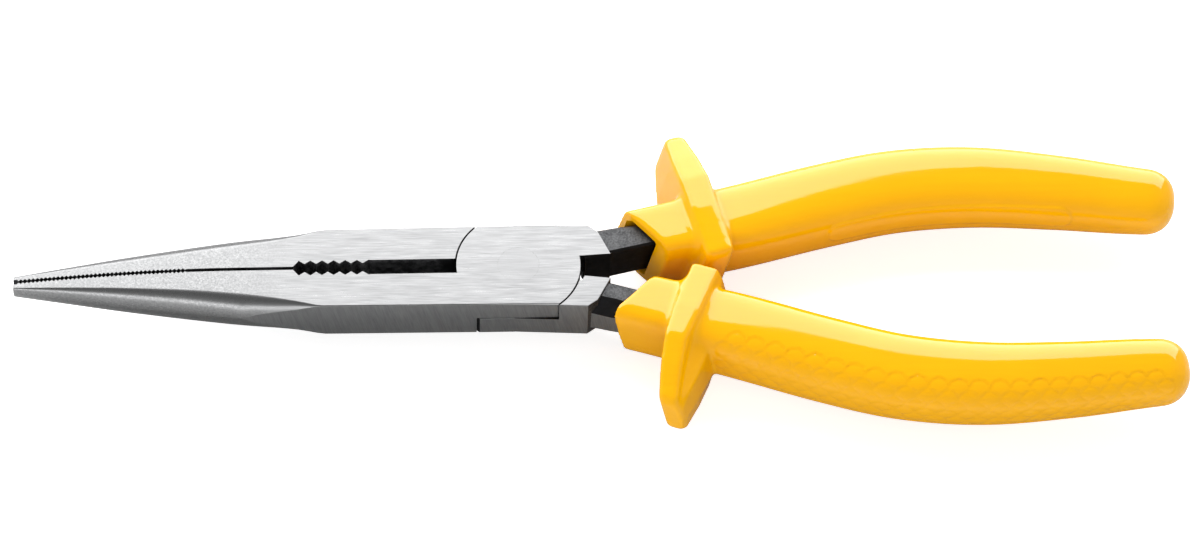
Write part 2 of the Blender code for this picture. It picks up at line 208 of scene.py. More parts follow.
# ---- moulded relief on the sleeve -------------------------------------------------------------
SCALE_START_X = 37.0
SCALE_END_X = 112.0
SCALE_PITCH = 3.35
SCALE_ROW = 1.9
SCALE_RADIUS = 1.75
SCALE_TOP_ROW = 3
SCALE_BOTTOM_ROW = -1
SCALE_RELIEF = 0.18
SCALE_FADE = 0.55
# Half width and half height that the scale rows wrap round, and the radius they are spaced on.
SCALE_WRAP = (6.8, 5.6)
SCALE_WRAP_RADIUS = 6.4
PANEL_START_X = 52.0
PANEL_END_X = 98.0
PANEL_CENTRE_Z = 1.15
PANEL_HALF_WIDTH = 2.35
PANEL_RELIEF = 0.30
PANEL_EDGE = 0.35
LINE_SAMPLE_STEP = 0.25

# ---- rivet ---------------------------------------------------------------------------------
RIVET_SHANK_RADIUS = 2.6
RIVET_HEAD_RADIUS = 3.6
RIVET_HEAD_DEPTH = 1.4
RIVET_GAP = 0.01
RIVET_STEPS = 96
CUT_MARGIN = 2.0

# Places in each steel object's list of materials.
FACE, SIDE, INNER, FORGED = range(4)


# ---- material nodes ----------------------------------------------------------------------------
def add_node(tree, kind, inputs=None, **settings):
    """Add a node, set its properties, and fill its inputs with numbers or links."""
    made = tree.nodes.new(kind)
    for name, value in settings.items():
        setattr(made, name, value)
    for name, value in (inputs or {}).items():
        if isinstance(value, bpy.types.NodeSocket):
            tree.links.new(value, made.inputs[name])
        else:
            made.inputs[name].default_value = value
    return made


def new_material(name):
    material = bpy.data.materials.new(name)
    material.use_nodes = True
    tree = material.node_tree
    return material, tree, tree.nodes["Principled BSDF"]


def object_position(tree):
    return add_node(tree, "ShaderNodeTexCoord").outputs["Object"]


def grain(tree, position, scale, turn=(0.0, 0.0, 0.0), detail=3.0, roughness=0.6):
    """Noise stretched by a scale along each axis, in features per metre."""
    turned = add_node(tree, "ShaderNodeMapping", {"Vector": position, "Rotation": turn})
    stretched = add_node(
        tree, "ShaderNodeMapping", {"Vector": turned.outputs["Vector"], "Scale": scale}
    )
    noise = add_node(
        tree,
        "ShaderNodeTexNoise",
        {
            "Vector": stretched.outputs["Vector"],
            "Scale": 1.0,
            "Detail": detail,
            "Roughness": roughness,
        },
    )
    return noise.outputs["Fac"]


def remap(tree, value, low, high, to_low, to_high):
    """Straight-line change of a value's range, held at both ends."""
    node = add_node(
        tree,
        "ShaderNodeMapRange",
        {"Value": value, "From Min": low, "From Max": high, "To Min": to_low, "To Max": to_high},
    )
    return node.outputs["Result"]


def mix_values(tree, share, first, second):
    node = add_node(
        tree, "ShaderNodeMix", {"Factor": share, "A": first, "B": second}, data_type="FLOAT"
    )
    return node.outputs["Result"]


def grey_ramp(tree, value, stops):
    """Colour ramp through (place, colour) stops."""
    node = add_node(tree, "ShaderNodeValToRGB", {"Fac": value})
    ramp = node.color_ramp
    for place, colour in stops[1:-1]:
        ramp.elements.new(place).color = (*colour, 1.0)
    ramp.elements[0].position, ramp.elements[0].color = stops[0][0], (*stops[0][1], 1.0)
    ramp.elements[-1].position, ramp.elements[-1].color = stops[-1][0], (*stops[-1][1], 1.0)
    return node.outputs["Color"]


def bump(tree, height, distance_mm, strength=1.0):
    node = add_node(
        tree,
        "ShaderNodeBump",
        {"Height": height, "Distance": distance_mm * MM, "Strength": strength},
    )
    return node.outputs["Normal"]


def brushed_grain(tree, position):
    """Short grinding lines along the head."""
    fine = grain(tree, position, (240, 4200, 900), turn=(0.0, 0.0, 0.02))
    broad = grain(tree, position, (90, 1500, 300), turn=(0.0, 0.0, -0.03))
    return mix_values(tree, 0.25, fine, broad)


def ground_face_material():
    """Ground and lightly brushed steel, turning to an even satin on the nose."""
    material, tree, surface = new_material("ground_face_steel")
    position = object_position(tree)
    axes = add_node(tree, "ShaderNodeSeparateXYZ", {"Vector": position})
    on_head = remap(tree, axes.outputs["X"], -50 * MM, -38 * MM, 0.0, 1.0)
    brushed = brushed_grain(tree, position)
    satin = grain(tree, position, (3000, 3000, 3000), detail=2.0)
    finish = mix_values(tree, on_head, satin, brushed)
    tone = grey_ramp(
        tree, finish, ((0.34, (0.262, 0.264, 0.267)), (0.66, (0.352, 0.354, 0.357)))
    )
    tree.links.new(tone, surface.inputs["Base Color"])
    tree.links.new(remap(tree, finish, 0.3, 0.7, 0.34, 0.26), surface.inputs["Roughness"])
    tree.links.new(bump(tree, finish, 0.006), surface.inputs["Normal"])
    surface.inputs["Metallic"].default_value = 1.0
    return material


def ground_side_material():
    """Ground steel whose grinding lines run steeply across the sides."""
    material, tree, surface = new_material("ground_side_steel")
    position = object_position(tree)
    lines = grain(tree, position, (4200, 600, 260), turn=(0.0, 0.22, 0.0), detail=4.0)
    broad = grain(tree, position, (700, 300, 60), turn=(0.0, 0.22, 0.0))
    finish = mix_values(tree, 0.35, lines, broad)
    tone = grey_ramp(
        tree, finish, ((0.30, (0.262, 0.267, 0.272)), (0.70, (0.410, 0.413, 0.416)))
    )
    tree.links.new(tone, surface.inputs["Base Color"])
    tree.links.new(remap(tree, finish, 0.3, 0.7, 0.42, 0.30), surface.inputs["Roughness"])
    tree.links.new(bump(tree, finish, 0.006), surface.inputs["Normal"])
    surface.inputs["Metallic"].default_value = 1.0
    return material


def inner_steel_material():
    """Dark steel of the slot, the notches and the faces between the halves: its dark tone is painted
    shade of these deep, narrow places, over random patches of tone.
    """
    material, tree, surface = new_material("dark_inner_steel_painted_shade")
    position = object_position(tree)
    patches = grain(tree, position, (600, 1500, 700), detail=4.0)
    axes = add_node(tree, "ShaderNodeSeparateXYZ", {"Vector": position})
    # Painted shade: from x = -14 mm to -11 mm and on into the joint between the halves, the tone is
    # pulled darker.
    joint_shade_share = remap(tree, axes.outputs["X"], -14 * MM, -11 * MM, 0.0, 0.85)
    patches_and_joint_shade = mix_values(tree, joint_shade_share, patches, 0.0)
    # Very dark ramp: painted shade of the deep slot, notches and gaps, with lighter random patches.
    tone = grey_ramp(
        tree,
        patches_and_joint_shade,
        ((0.05, (0.006, 0.006, 0.007)), (0.40, (0.034, 0.034, 0.036)), (0.75, (0.22, 0.22, 0.23))),
    )
    tree.links.new(tone, surface.inputs["Base Color"])
    tree.links.new(remap(tree, patches, 0.3, 0.7, 0.6, 0.45), surface.inputs["Roughness"])
    surface.inputs["Metallic"].default_value = 0.5
    surface.inputs["Specular IOR Level"].default_value = 0.3
    return material


def forged_steel_material():
    """Dark, grainy forging skin of the tang."""
    material, tree, surface = new_material("forged_tang_steel")
    position = object_position(tree)
    pits = grain(tree, position, (2600, 2600, 2600), detail=4.0, roughness=0.7)
    swirls = grain(tree, position, (500, 500, 500), detail=3.0)
    skin = mix_values(tree, 0.35, pits, swirls)
    tone = grey_ramp(
        tree, skin, ((0.30, (0.040, 0.041, 0.044)), (0.70, (0.170, 0.172, 0.176)))
    )
    tree.links.new(tone, surface.inputs["Base Color"])
    tree.links.new(remap(tree, skin, 0.3, 0.7, 0.6, 0.42), surface.inputs["Roughness"])
    tree.links.new(bump(tree, pits, 0.05), surface.inputs["Normal"])
    surface.inputs["Metallic"].default_value = 0.9
    return material


def rivet_material():
    """Ground end of the rivet, finished in one pass with the face around it."""
    material, tree, surface = new_material("ground_rivet_steel")
    position = object_position(tree)
    finish = brushed_grain(tree, position)
    tone = grey_ramp(
        tree, finish, ((0.30, (0.273, 0.275, 0.278)), (0.70, (0.333, 0.335, 0.338)))
    )
    tree.links.new(tone, surface.inputs["Base Color"])
    tree.links.new(remap(tree, finish, 0.3, 0.7, 0.34, 0.26), surface.inputs["Roughness"])
    tree.links.new(bump(tree, finish, 0.004), surface.inputs["Normal"])
    surface.inputs["Metallic"].default_value = 1.0
    return material


def sleeve_material():
    """Glossy dipped and moulded yellow plastic with faint flow lines along the handle."""
    material, tree, surface = new_material("glossy_yellow_plastic")
    position = object_position(tree)
    flow = grain(tree, position, (25, 1400, 1400), detail=2.0)
    cloud = grain(tree, position, (110, 110, 110), detail=2.0)
    blend = mix_values(tree, 0.5, flow, cloud)
    tone = grey_ramp(
        tree, blend, ((0.30, (0.770, 0.362, 0.0)), (0.70, (0.800, 0.388, 0.0)))
    )
    tree.links.new(tone, surface.inputs["Base Color"])
    tree.links.new(remap(tree, blend, 0.3, 0.7, 0.07, 0.05), surface.inputs["Roughness"])
    tree.links.new(bump(tree, flow, 0.002), surface.inputs["Normal"])
    surface.inputs["IOR"].default_value = 1.5
    return material


# ---- mesh building ----------------------------------------------------------------------------
def loft_between(rings, material_of=None):
    """Skin a row of equal-sized rings and close both ends."""
    build = bmesh.new()
    rows = [[build.verts.new(point) for point in ring] for ring in rings]
    count = len(rows[0])
    for near, far in zip(rows, rows[1:]):
        for index in range(count):
            following = (index + 1) % count
            face = build.faces.new((near[index], near[following], far[following], far[index]))
            face.material_index = material_of(index) if material_of else 0
    build.faces.new(rows[0])
    build.faces.new(list(reversed(rows[-1])))
    return build


def extrude_outline(points, bottom, top, side_material=None, cap_material=FACE):
    """Raise a flat plan outline into a plate between two heights."""
    build = bmesh.new()
    low = [build.verts.new((x, y, bottom)) for x, y in points]
    high = [build.verts.new((x, y, top)) for x, y in points]
    build.faces.new(low).material_index = cap_material
    build.faces.new(high).material_index = cap_material
    count = len(points)
    for index in range(count):
        following = (index + 1) % count
        face = build.faces.new((low[index], low[following], high[following], high[index]))
        face.material_index = side_material(index) if side_material else INNER
    return build


def spun_body(profile, steps, material_index):
    """Spin a half outline, given as (radius, height) from top to bottom, about Z."""
    build = bmesh.new()
    rows = []
    for radius, height in profile:
        if radius == 0.0:
            rows.append([build.verts.new((0.0, 0.0, height))])
            continue
        angles = [2 * math.pi * step / steps for step in range(steps)]
        rows.append([
            build.verts.new((radius * math.cos(a), radius * math.sin(a), height)) for a in angles
        ])
    for upper, lower in zip(rows, rows[1:]):
        for index in range(steps):
            following = (index + 1) % steps
            corners = [upper[index % len(upper)], lower[index % len(lower)]]
            corners += [lower[following % len(lower)], upper[following % len(upper)]]
            corners = list(dict.fromkeys(corners))
            build.faces.new(corners).material_index = material_index
    return build


def turn_about_pivot(build, degrees):
    rotation = Matrix.Rotation(math.radians(degrees), 3, "Z")
    bmesh.ops.rotate(build, cent=(0.0, 0.0, 0.0), matrix=rotation, verts=build.verts[:])


def work_object(name, build, materials=()):
    """A temporary object in drawing millimetres."""
    bmesh.ops.recalc_face_normals(build, faces=build.faces[:])
    mesh = bpy.data.meshes.new(name)
    build.to_mesh(mesh)
    build.free()
    for material in materials:
        mesh.materials.append(material)
    item = bpy.data.objects.new(name, mesh)
    bpy.context.scene.collection.objects.link(item)
    return item


def apply_modifiers(item):
    """Replace an object's mesh with its evaluated one."""
    bpy.context.view_layer.update()
    graph = bpy.context.evaluated_depsgraph_get()
    final = bpy.data.meshes.new_from_object(item.evaluated_get(graph))
    item.modifiers.clear()
    item.data = final


def combine(target, tool, operation):
    """Exact Boolean of two closed meshes. The tool is used up."""
    modifier = target.modifiers.new("combine", "BOOLEAN")
    modifier.operation = operation
    modifier.solver = "EXACT"
    modifier.object = tool
    apply_modifiers(target)
    bpy.data.objects.remove(tool, do_unlink=True)


def shade_by_angle(item, degrees):
    """Smooth shading, creased at sharp edges and where the surface finish changes."""
    build = bmesh.new()
    build.from_mesh(item.data)
    limit = math.radians(degrees)
    for face in build.faces:
        face.smooth = True
    for edge in build.edges:
        faces = edge.link_faces
        same = len(faces) == 2 and faces[0].material_index == faces[1].material_index
        edge.smooth = same and edge.calc_face_angle(0.0) < limit
    build.to_mesh(item.data)
    build.free()


def place_in_frame(item, turned):
    """Put a drawing in the row frame, in metres, with the object itself at the origin."""
    scale = Matrix.Scale(MM, 4)
    turn = Matrix.Rotation(math.pi, 4, "X") if turned else Matrix.Identity(4)
    lift = Matrix.Translation((0.0, 0.0, HEAD_HALF_THICKNESS * MM))
    item.data.transform(lift @ turn @ scale)


# ---- curves through the section tables ----------------------------------------------------------
def table_value(table, x, column):
    """Straight-line value of one column of a section table at the distance x."""
    distances = [row[0] for row in table]
    return float(np.interp(x, distances, [row[column] for row in table]))


def smooth_value(table, x, column):
    """Cubic value through the rows of a table, with matching slopes at each row."""
    last = len(table) - 1
    index = 0
    while index < last - 1 and x > table[index + 1][0]:
        index += 1
    near, far = table[index], table[index + 1]
    before = table[max(index - 1, 0)]
    after = table[min(index + 2, last)]
    span = far[0] - near[0]
    share = min(max((x - near[0]) / span, 0.0), 1.0)
    slope_near = (far[column] - before[column]) / (far[0] - before[0])
    slope_far = (after[column] - near[column]) / (after[0] - near[0])
    square = share * share
    cube = square * share
    return (
        (2 * cube - 3 * square + 1) * near[column]
        + (cube - 2 * square + share) * span * slope_near
        + (3 * square - 2 * cube) * far[column]
        + (cube - square) * span * slope_far
    )


def handle_frame(x):
    """Point on the handle centre line and the unit direction pointing outward from it."""
    step = 0.5
    centre = Vector((x, smooth_value(HANDLE_LINE, x, 1), 0.0))
    ahead = Vector((x + step, smooth_value(HANDLE_LINE, x + step, 1), 0.0))
    behind = Vector((x - step, smooth_value(HANDLE_LINE, x - step, 1), 0.0))
    along = (ahead - behind).normalized()
    return centre, Vector((-along.y, along.x, 0.0))


def stations(start, end, step):
    count = max(1, round((end - start) / step))
    return [start + (end - start) * index / count for index in range(count + 1)]


def rounded_ring(centre, sideways, half_width, half_height, exponent, lean, points):
    """A superellipse ring across the given sideways direction, leaning by some degrees."""
    ring = []
    cosine, sine = math.cos(math.radians(lean)), math.sin(math.radians(lean))
    for index in range(points):
        angle = 2 * math.pi * (index + 0.5) / points
        across = math.copysign(abs(math.cos(angle)) ** (2 / exponent), math.cos(angle))
        upward = math.copysign(abs(math.sin(angle)) ** (2 / exponent), math.sin(angle))
        across, upward = half_width * across, half_height * upward
        lift = Vector((0.0, 0.0, across * sine + upward * cosine))
        ring.append(centre + sideways * (across * cosine - upward * sine) + lift)
    return ring


# ---- steel halves -----------------------------------------------------------------------------
def head_half_width(x):
    return HEAD_HALF_WIDTH + HEAD_SIDE_SLOPE * x


def jaw_corner(flat, widest, drop, limit):
    """Quarter ellipse from the edge of a flat towards the widest point, stopped at the side."""
    reach = widest - flat
    to_side = math.asin(min((limit - flat) / reach, 1.0))
    end = min(to_side, math.radians(JAW_CORNER_END_DEG))
    angles = [end * step / JAW_CORNER_STEPS for step in range(JAW_CORNER_STEPS + 1)]
    return [(flat + reach * math.sin(angle), drop * math.cos(angle)) for angle in angles]


def jaw_ring(x):
    """Jaw section: flat faces and rounded outer corners that meet the straight ground side."""
    top, bottom, widest, level, thick = (smooth_value(JAW_SECTIONS, x, c) for c in range(1, 6))
    thick = min(thick, HEAD_HALF_THICKNESS)
    limit = head_half_width(x)
    upper = [(y, level + z) for y, z in jaw_corner(top, widest, thick - level, limit)]
    lower = [(y, level - z) for y, z in jaw_corner(bottom, widest, thick + level, limit)]
    outline = [(JAW_FACE_Y, thick)] + upper + lower[::-1] + [(JAW_FACE_Y, -thick)]
    return [(x, -y, z) for y, z in outline]


def jaw_body():
    """The jaw, with the straight side and the gripping face as their own finishes."""
    side_strip = JAW_CORNER_STEPS + 1
    inner_strip = 2 * JAW_CORNER_STEPS + 3

    def finish(index):
        return {side_strip: SIDE, inner_strip: INNER}.get(index, FACE)

    distances = stations(JAW_SECTIONS[0][0], NOSE_END_X, JAW_STATION_STEP)
    distances.append(JAW_SECTIONS[-1][0])
    return loft_between([jaw_ring(x) for x in distances], finish)


def disc_outline():
    """The round joint face: ground flush with the jaw on one side, straight on the other."""
    slope = math.atan(HEAD_SIDE_SLOPE)
    flush = math.asin((HEAD_HALF_WIDTH - FLUSH_INSET) * math.cos(slope) / DISC_RADIUS)
    straight = math.asin(DISC_FREE_SIDE / DISC_RADIUS)
    rear_arc = (-flush - slope, straight)
    front_arc = (math.pi - straight, math.pi + flush - slope)
    points = []
    for start, end in (rear_arc, front_arc):
        for step in range(DISC_ARC_STEPS + 1):
            angle = start + (end - start) * step / DISC_ARC_STEPS
            points.append((DISC_RADIUS * math.cos(angle), DISC_RADIUS * math.sin(angle)))
    return points


def disc_plate():
    """The disc, with its two straight sides ground and its arcs in the dark inner steel, whose tone
    is painted shade.
    """

    def finish(index):
        return SIDE if index in (DISC_ARC_STEPS, 2 * DISC_ARC_STEPS + 1) else INNER

    return extrude_outline(disc_outline(), LAP_FACE_Z, HEAD_HALF_THICKNESS, finish)


def shoulder_block():
    """Ground rear corner of the head that the tang grows from."""
    finishes = (SIDE, FORGED, FORGED, INNER, INNER, INNER)
    return extrude_outline(
        SHOULDER, -HEAD_HALF_THICKNESS, HEAD_HALF_THICKNESS, lambda index: finishes[index]
    )


def bar_ring(x, growth):
    """An upright tang section with flattened corners, grown evenly by a clearance."""
    centre, sideways = handle_frame(x)
    inner, outer, high, low_cut, top_cut = (table_value(TANG_SECTIONS, x, c) for c in range(1, 6))
    inner, outer, high = inner + growth, outer + growth, high + growth
    small = TANG_INNER_CHAMFER
    corners = (
        (outer - top_cut, high), (outer, high - top_cut),
        (outer, low_cut - high), (outer - low_cut, -high),
        (small - inner, -high), (-inner, small - high),
        (-inner, high - small), (small - inner, high),
    )
    return [centre + sideways * across + Vector((0.0, 0.0, up)) for across, up in corners]


def tang_bar():
    """The forged tang, from inside the shoulder to its end in the sleeve."""
    finishes = (FORGED, SIDE, INNER, FORGED, INNER, INNER, INNER, FORGED)
    distances = stations(TANG_SECTIONS[0][0], TANG_SECTIONS[-1][0], TANG_STATION_STEP)
    return loft_between([bar_ring(x, 0.0) for x in distances], lambda index: finishes[index])


def tooth_cut():
    """Plan outline of the serrations, relief, notches and slot, raised through the jaw."""
    points = [(JAW_SECTIONS[0][0] - CUT_MARGIN, CUT_MARGIN)]
    points.append((JAW_SECTIONS[0][0] - CUT_MARGIN, -SERRATION_CREST))
    for index in range(SERRATION_COUNT):
        x = SERRATION_FIRST_X + SERRATION_PITCH * index
        points.append((x, -SERRATION_DEPTH))
        points.append((x + SERRATION_PITCH / 2, -SERRATION_CREST))
    points.append((points[-1][0] + CLEARANCE, -RELIEF_DEPTH))
    first = NOTCH_FIRST_X - NOTCH_PITCH / 2
    points.append((first, -RELIEF_DEPTH))
    for index in range(NOTCH_COUNT):
        x = NOTCH_FIRST_X + NOTCH_PITCH * index
        points.append((x, -NOTCH_DEPTH))
        points.append((x + NOTCH_PITCH / 2, -NOTCH_CREST))
    points[-1] = (SLOT_START_X, -SLOT_DEPTH)
    points.append((CUT_MARGIN, -SLOT_DEPTH))
    points.append((CUT_MARGIN, CUT_MARGIN))
    reach = HEAD_HALF_THICKNESS + CUT_MARGIN
    return extrude_outline(points, -reach, reach, cap_material=INNER)


def rivet_profile(growth, overshoot=0.0):
    """Half outline of the rivet: countersunk heads on a straight shank."""
    top = HEAD_HALF_THICKNESS
    head = RIVET_HEAD_RADIUS + growth
    shank = RIVET_SHANK_RADIUS + growth
    neck = top - RIVET_HEAD_DEPTH
    upper = [(0.0, top + overshoot), (head, top + overshoot)]
    if overshoot:
        upper.append((head, top))
    upper.append((shank, neck))
    return upper + [(radius, -height) for radius, height in reversed(upper)]


def lap_cut():
    """The space that the other half's disc turns in."""
    radius = DISC_RADIUS + LAP_ARC_GAP
    low = -HEAD_HALF_THICKNESS - CUT_MARGIN
    profile = ((0.0, LAP_FACE_Z), (radius, LAP_FACE_Z), (radius, low), (0.0, low))
    return spun_body(profile, DISC_STEPS, INNER)


def round_edges(item, width, degrees):
    """Break the outer sharp edges with a narrow rounded chamfer."""
    build = bmesh.new()
    build.from_mesh(item.data)
    weight = build.edges.layers.float.new("bevel_weight_edge")
    limit = math.radians(degrees)
    for edge in build.edges:
        finishes = [face.material_index for face in edge.link_faces]
        outer = len(finishes) == 2 and INNER not in finishes
        if outer and edge.calc_face_angle(0.0) > limit:
            edge[weight] = 1.0
    build.to_mesh(item.data)
    build.free()
    modifier = item.modifiers.new("edge_round", "BEVEL")
    modifier.width = width
    modifier.segments = 2
    modifier.limit_method = "WEIGHT"
    modifier.use_clamp_overlap = False
    apply_modifiers(item)


def weigh_normals(item):
    """Keep large flat faces flat beside their rounded edges."""
    modifier = item.modifiers.new("flat_faces", "WEIGHTED_NORMAL")
    modifier.keep_sharp = True
    apply_modifiers(item)


def build_half(name, node, body, turned, skew, steels):
    """One forged half: jaw, lap joint disc, shoulder and tang in one solid."""
    half = work_object(name, jaw_body(), steels)
    combine(half, work_object("teeth", tooth_cut(), steels), "DIFFERENCE")
    for label, build, turns in (
        ("disc", disc_plate(), False),
        ("shoulder", shoulder_block(), True),
        ("tang", tang_bar(), True),
    ):
        if turns:
            turn_about_pivot(build, skew)
        combine(half, work_object(label, build, steels), "UNION")
    combine(half, work_object("lap", lap_cut(), steels), "DIFFERENCE")
    corner = extrude_outline(
        LAP_CORNER, -HEAD_HALF_THICKNESS - CUT_MARGIN, LAP_FACE_Z, cap_material=INNER
    )
    combine(half, work_object("lap_corner", corner, steels), "DIFFERENCE")
    hole = spun_body(rivet_profile(RIVET_GAP, CUT_MARGIN), RIVET_STEPS, INNER)
    combine(half, work_object("hole", hole, steels), "DIFFERENCE")
    round_edges(half, EDGE_ROUND, EDGE_ROUND_FROM_DEG)
    shade_by_angle(half, STEEL_CREASE_DEG)
    place_in_frame(half, turned)
    weigh_normals(half)
    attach(half, body)
    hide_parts(node)
    return half


def build_rivet(material):
    """The rivet, its two heads ground flush with the faces of the head."""
    rivet = work_object(
        "pivot_rivet_flush", spun_body(rivet_profile(0.0), RIVET_STEPS, 0), [material]
    )
    shade_by_angle(rivet, STEEL_CREASE_DEG)
    place_in_frame(rivet, False)
    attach(rivet, "lower_half")
    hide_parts("pivot_rivet")
    return rivet


# ---- insulating sleeves --------------------------------------------------------------------------
def sleeve_ring(x, shrink):
    """Outer section of the sleeve at x, scaled about the handle's centre line."""
    centre, sideways = handle_frame(x)
    half_width = smooth_value(SLEEVE_SECTIONS, x, 1) * shrink
    half_height = smooth_value(SLEEVE_SECTIONS, x, 2) * shrink
    exponent = smooth_value(SLEEVE_SECTIONS, x, 3)
    lean = smooth_value(SLEEVE_LEAN, x, 1)
    return rounded_ring(
        centre, sideways, half_width, half_height, exponent, lean, SLEEVE_RING_POINTS
    )


def sleeve_body():
    """Outer skin of the sleeve, closed by a dome at the rear end."""
    dome_start = SLEEVE_END_X - SLEEVE_DOME_LENGTH
    rings = [
        sleeve_ring(x, 1.0)
        for x in stations(SLEEVE_SECTIONS[0][0], dome_start, SLEEVE_STATION_STEP)
    ]
    for step in range(1, SLEEVE_DOME_STEPS + 1):
        angle = math.pi / 2 * step / (SLEEVE_DOME_STEPS + SLEEVE_DOME_OPENING)
        x = dome_start + SLEEVE_DOME_LENGTH * math.sin(angle)
        rings.append(sleeve_ring(x, math.cos(angle) ** SLEEVE_DOME_POWER))
    return loft_between(rings)


def lean_forward(build):
    """Shift points along the handle with their height."""
    angle = math.radians(GUARD_ANGLE_DEG)
    along = Vector((math.cos(angle), math.sin(angle), 0.0))
    for vert in build.verts:
        vert.co += along * (FRONT_LEAN * vert.co.z)
    return build


def guard_ring(section):
    """Guard section looking along the flange: upright front, flat rim and buttressed rear."""
    distance, front, rear_top, rear_bottom, rear_root, rim, root = section
    corner = GUARD_RIM_CORNER
    outline = (
        (front, corner - rim), (front, rim - corner), (front + corner, rim),
        (rear_top - corner, rim), (rear_top, rim - corner), (rear_root, root - corner),
        (rear_root, -root), (rear_bottom, -(root + GUARD_FLANK_STEP)), (rear_bottom, corner - rim),
        (rear_bottom - corner, -rim), (front + corner, -rim),
    )
    return [(along, distance, height) for along, height in outline]


def guard_body():
    """Buttressed flange that keeps the hand off the metal."""
    build = loft_between([guard_ring(section) for section in GUARD_SECTIONS])
    rotation = Matrix.Rotation(math.radians(GUARD_ANGLE_DEG), 3, "Z")
    bmesh.ops.rotate(build, cent=(0.0, 0.0, 0.0), matrix=rotation, verts=build.verts[:])
    bmesh.ops.translate(build, vec=(GUARD_POINT[0], GUARD_POINT[1], 0.0), verts=build.verts[:])
    return lean_forward(build)


def guard_fillet():
    """Flared belt round the sleeve that blends it into both faces of the guard."""
    belt = [(GUARD_FRONT - gap, growth) for gap, growth in GUARD_FILLET]
    belt += [(GUARD_REAR + gap, growth) for gap, growth in reversed(GUARD_FILLET)]
    rings = []
    for along, growth in belt:
        x = GUARD_POINT[0] + along * math.cos(math.radians(GUARD_ANGLE_DEG))
        rings.append(sleeve_ring(x, 1.0 + (growth - FILLET_SINK) / SLEEVE_SECTIONS[1][1]))
    return lean_forward(loft_between(rings))


def mouth_wedge():
    """Block that trims the sleeve mouth to its slanted, leaning line."""
    outline = list(MOUTH_LINE) + [
        (MOUTH_BACK_X, MOUTH_LINE[-1][1]),
        (MOUTH_BACK_X, MOUTH_LINE[0][1]),
    ]
    return lean_forward(extrude_outline(outline, -MOUTH_REACH, MOUTH_REACH))


def tang_cavity():
    """The space for the tang inside the sleeve, flaring a little towards the mouth."""
    start = TANG_SECTIONS[0][0] - CUT_MARGIN
    rings = []
    for x in stations(start, CAVITY_END_X, TANG_STATION_STEP):
        share = (MOUTH_FLARE_END_X - x) / (MOUTH_FLARE_END_X - start)
        flare = MOUTH_FLARE * min(max(share, 0.0), 1.0)
        rings.append(bar_ring(x, CLEARANCE + flare))
    return loft_between(rings)


def mould_smooth(item):
    """Even out the mesh and melt its inner and outer corners as a mould does."""
    remesh = item.modifiers.new("even_mesh", "REMESH")
    remesh.mode = "VOXEL"
    remesh.voxel_size = MOULD_VOXEL
    smooth = item.modifiers.new("melt", "SMOOTH")
    smooth.factor = MOULD_SMOOTH_FACTOR
    smooth.iterations = MOULD_SMOOTHING
    apply_modifiers(item)


def along_and_around(points):
    """Handle coordinates of points: x of the nearest centre point, outward distance, height."""
    samples = np.arange(HANDLE_LINE[0][0], HANDLE_LINE[-1][0], LINE_SAMPLE_STEP)
    heights = np.array([smooth_value(HANDLE_LINE, x, 1) for x in samples])
    slopes = np.gradient(heights, samples)
    foot = points[:, 0].copy()
    for _ in range(4):
        slope = np.interp(foot, samples, slopes)
        rise = points[:, 1] - np.interp(foot, samples, heights)
        foot += ((points[:, 0] - foot) + rise * slope) / (1 + slope * slope)
    slope = np.interp(foot, samples, slopes)
    offset = points[:, 1] - np.interp(foot, samples, heights)
    outward = (offset - slope * (points[:, 0] - foot)) / np.sqrt(1 + slope * slope)
    return foot, outward, points[:, 2]


def smooth_step(value, low, high):
    share = np.clip((value - low) / (high - low), 0.0, 1.0)
    return share * share * (3 - 2 * share)


def scale_relief(foot, outward, height):
    """Fish-scale relief: each scale is a shallow dish under the curved lip of the one above."""
    turn = np.arctan2(height / SCALE_WRAP[1], outward / SCALE_WRAP[0])
    around = -turn * SCALE_WRAP_RADIUS
    relief = np.zeros(len(foot))
    for row in range(SCALE_TOP_ROW, SCALE_BOTTOM_ROW - 1, -1):
        centre = SCALE_ROW * row
        shift = SCALE_PITCH / 2 if row % 2 else 0.0
        nearest = (np.round((foot - SCALE_START_X - shift) / SCALE_PITCH)) * SCALE_PITCH
        centre_x = nearest + SCALE_START_X + shift
        inside = SCALE_RADIUS - np.hypot(foot - centre_x, around - centre)
        dish = -SCALE_RELIEF * np.exp(-np.clip(inside, 0.0, None) / SCALE_FADE)
        real = (centre_x > SCALE_START_X - 0.1) & (centre_x < SCALE_END_X + 0.1)
        relief = np.where((inside > 0) & real, dish, relief)
    return relief


def panel_relief(foot, outward, height):
    """Raised blank stadium on the inner side of the grip."""
    half = PANEL_HALF_WIDTH
    nearest = np.clip(foot, PANEL_START_X + half, PANEL_END_X - half)
    distance = np.hypot(foot - nearest, height - PANEL_CENTRE_Z)
    raised = PANEL_RELIEF * (1 - smooth_step(distance, half - PANEL_EDGE, half))
    return np.where(outward < 0, raised, 0.0)


def add_relief(item):
    """Push the skin along its normals by the moulded pattern."""
    mesh = item.data
    count = len(mesh.vertices)
    points = np.empty(count * 3, np.float32)
    mesh.vertices.foreach_get("co", points)
    points = points.reshape(-1, 3).astype(float)
    normals = np.empty(count * 3, np.float32)
    mesh.vertex_normals.foreach_get("vector", normals)
    normals = normals.reshape(-1, 3).astype(float)
    foot, outward, height = along_and_around(points)
    moved = np.where(outward > 0, scale_relief(foot, outward, height), 0.0)
    moved = moved + panel_relief(foot, outward, height)
    points += normals * moved[:, None]
    mesh.vertices.foreach_set("co", points.astype(np.float32).ravel())
    mesh.update()


